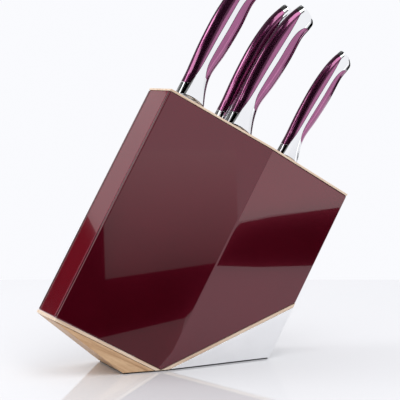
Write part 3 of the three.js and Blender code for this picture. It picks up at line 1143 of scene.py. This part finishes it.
@dataclass(frozen=True)
class SoftBox:
    """A square area light that is aimed at the block."""

    name: str
    at: Place
    size: float
    power: float
    aim: Place = (0, 0, 0.12)


@dataclass
class Studio:
    """A white table in a bright room, with cards out of sight that shape the reflections."""

    camera_at: Place = (-0.5188, -1.1644, 0.2717)
    yaw: float = 24.63  # degrees from +Y towards +X
    pitch: float = 5.345  # degrees down
    lens: float = 123.2
    sensor: float = 36
    view_reach: float = 30  # how far the camera sees
    room: Colour = (0.955, 0.960, 0.990)
    table_reach: float = 1.78  # of the table's far edge from the camera
    table_behind: float = 4  # of its near edge behind the camera
    table_half: float = 3  # half its width
    table_tone: Colour = (0.750, 0.750, 0.765)
    boxes: tuple[SoftBox, ...] = (
        SoftBox("left_box", (-0.95, 0.35, 0.95), 0.7, 5.0),
        SoftBox("top_box", (0.1, -0.5, 1.3), 0.8, 4.0),
    )
    cards: tuple[Card, ...] = (
        flat_card("front_flag_left", 0.001, (
            (-0.42, -0.12), (-0.30, -0.75), (0.150, -1.106), (0.50, -1.44), (0.102, -0.447),
            (-0.035, -0.30),
        )),
        flat_card("front_flag_right", 0.001, (
            (0.245, -0.385), (0.448, -0.598), (0.531, -0.624), (0.80, -0.67), (0.48, -0.30),
            (0.303, -0.350),
        )),
        # Painted shadow: a dim sheet on the table where the block's shadow falls in front of it, seen only
        # in reflections.
        flat_card("front_shade", 0.0015, (
            (-0.12, -0.02), (-0.12, -0.25), (-0.035, -0.30), (0.102, -0.446), (0.02, -0.19), (-0.05, -0.02),
        ), 0.40),
        flat_card("front_glow", 0.0015, (
            (0.40, -0.60), (0.62, -0.95), (0.95, -1.30), (1.60, -1.30), (1.0, -0.68), (0.531, -0.632),
            (0.448, -0.605),
        ), 1.45),
        standing_card("front_post", (0.150, -1.106), (-0.30, -0.75), 0.0, 0.163),
        standing_card("front_haze", (0.50, -1.44), (0.150, -1.106), 0.0, 0.22, 0.33, 1.05),
        standing_card("end_flag", (-0.34, 0.45), (-0.08, 0.45), 0.12, 0.245),
        standing_card("end_grey", (-0.34, 0.45), (-0.08, 0.45), 0.245, 0.42, 0.38, 0.50),
        standing_card("back_flag", (-0.90, 0.40), (0.35, 0.95), 0.42, 1.60, 0.12),
        standing_card("left_glow", (-0.90, -0.46), (-0.90, 0.40), 0.45, 1.05, 1.8),
        standing_card("high_flag", (-0.90, -0.46), (-0.90, 0.40), 1.05, 2.40, 0.05),
        flat_card("ceiling_flag", 1.75, ((-1.1, -0.6), (-1.1, 0.9), (0.5, 0.9), (0.5, -0.6)), 0.05),
        standing_card("left_flag", (-0.10, -1.29), (-0.90, -0.46), 0.0, 2.40),
        standing_card("middle_flag", (0.20, -1.30), (-0.10, -1.29), 0.0, 2.40, 0.20),
        standing_card("right_flag", (0.55, 0.45), (0.55, -0.18), 0.12, 0.38),
    )

    def build(self) -> None:
        """Sets up the camera, the room's light, the table and the cards."""
        self.build_camera()
        self.build_room()
        self.build_table()
        for card in self.cards:
            self.build_card(card)
        self.build_lights()

    def build_camera(self) -> None:
        """Makes the camera, with no shift and no depth of field."""
        data = bpy.data.cameras.new("camera")
        data.lens = self.lens
        data.sensor_width = self.sensor
        data.clip_end = self.view_reach
        camera = bpy.data.objects.new("camera", data)
        camera.location = self.camera_at
        camera.rotation_euler = (math.radians(90 - self.pitch), 0, -math.radians(self.yaw))
        bpy.context.scene.collection.objects.link(camera)
        bpy.context.scene.camera = camera

    def build_room(self) -> None:
        """Fills the room with even, slightly cool light."""
        scene = bpy.context.scene
        scene.view_settings.view_transform = "Standard"
        world = bpy.data.worlds.new("room")
        world.use_nodes = True
        background = world.node_tree.nodes["Background"]
        background.inputs["Color"].default_value = (*self.room, 1)
        background.inputs["Strength"].default_value = 1.0
        scene.world = world

    def build_table(self) -> None:
        """Makes the glossy white table, whose far edge fades into the room."""
        ahead = Vector((math.sin(math.radians(self.yaw)), math.cos(math.radians(self.yaw)), 0))
        right = Vector((ahead.y, -ahead.x, 0))
        start = Vector((self.camera_at[0], self.camera_at[1], 0))
        near, far, half = -self.table_behind, self.table_reach, self.table_half
        plan = ((near, -half), (near, half), (far, half), (far, -half))
        corners = [start + ahead * along + right * across for along, across in plan]
        mesh = bpy.data.meshes.new("table")
        mesh.from_pydata(corners, [], [(0, 1, 2, 3)])
        table = new_object("table", mesh)
        graph = Graph("table_acrylic")
        graph.set(Base_Color=self.table_tone, Roughness=0.035, IOR=1.45)
        table.data.materials.append(graph.material)

    def build_card(self, card: Card) -> None:
        """Makes one card, which neither the camera nor the shadows see.

        Args:
            card: the card.
        """
        mesh = bpy.data.meshes.new(card.name)
        mesh.from_pydata(card.corners, [], [tuple(range(len(card.corners)))])
        made = new_object(card.name, mesh)
        graph = Graph(card.name)
        emission = graph.nodes.new("ShaderNodeEmission")
        emission.inputs["Strength"].default_value = card.tone
        if card.top_tone is not None:
            heights = [corner[2] for corner in card.corners]
            split = graph.nodes.new("ShaderNodeSeparateXYZ")
            graph.join(graph.place(), split.inputs[0])
            tone = graph.spread(split.outputs["Z"], min(heights), max(heights), (card.tone, card.top_tone))
            graph.join(tone, emission.inputs["Strength"])
        clear = graph.nodes.new("ShaderNodeBsdfTransparent")
        mix = graph.nodes.new("ShaderNodeMixShader")
        graph.join(graph.nodes.new("ShaderNodeNewGeometry").outputs["Backfacing"], mix.inputs[0])
        graph.join(emission.outputs[0], mix.inputs[1])
        graph.join(clear.outputs[0], mix.inputs[2])
        graph.join(mix.outputs[0], graph.output.inputs["Surface"])
        made.data.materials.append(graph.material)
        made.visible_camera = False
        made.visible_diffuse = False
        made.visible_shadow = False
        made.visible_transmission = False

    def build_lights(self) -> None:
        """Adds two soft boxes, above on the left and above in front."""
        for box in self.boxes:
            data = bpy.data.lights.new(box.name, "AREA")
            data.shape = "SQUARE"
            data.size = box.size
            data.energy = box.power
            light = bpy.data.objects.new(box.name, data)
            light.location = box.at
            toward = Vector(box.aim) - Vector(box.at)
            light.rotation_euler = toward.to_track_quat("-Z", "Y").to_euler()
            bpy.context.scene.collection.objects.link(light)


KNIVES = (
    Knife("chef"),
    Knife("bread", teeth=44),
    Knife("carving"),
    Knife("utility", broad=0.79, tall=0.885),
)


def main() -> None:
    """Loads the frame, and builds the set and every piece."""
    logging.basicConfig(level=logging.INFO, format="%(name)s: %(message)s")
    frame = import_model()
    Studio().build()
    Casing().build(frame["nodes"])
    dress_inside(frame["nodes"])
    handle = HANDLE.parts()
    form = BLADE.tree()
    for knife in KNIVES:
        knife.build(frame, form, handle)
    for source in handle.values():
        bpy.data.objects.remove(source)


if __name__ == "__main__":
    main()
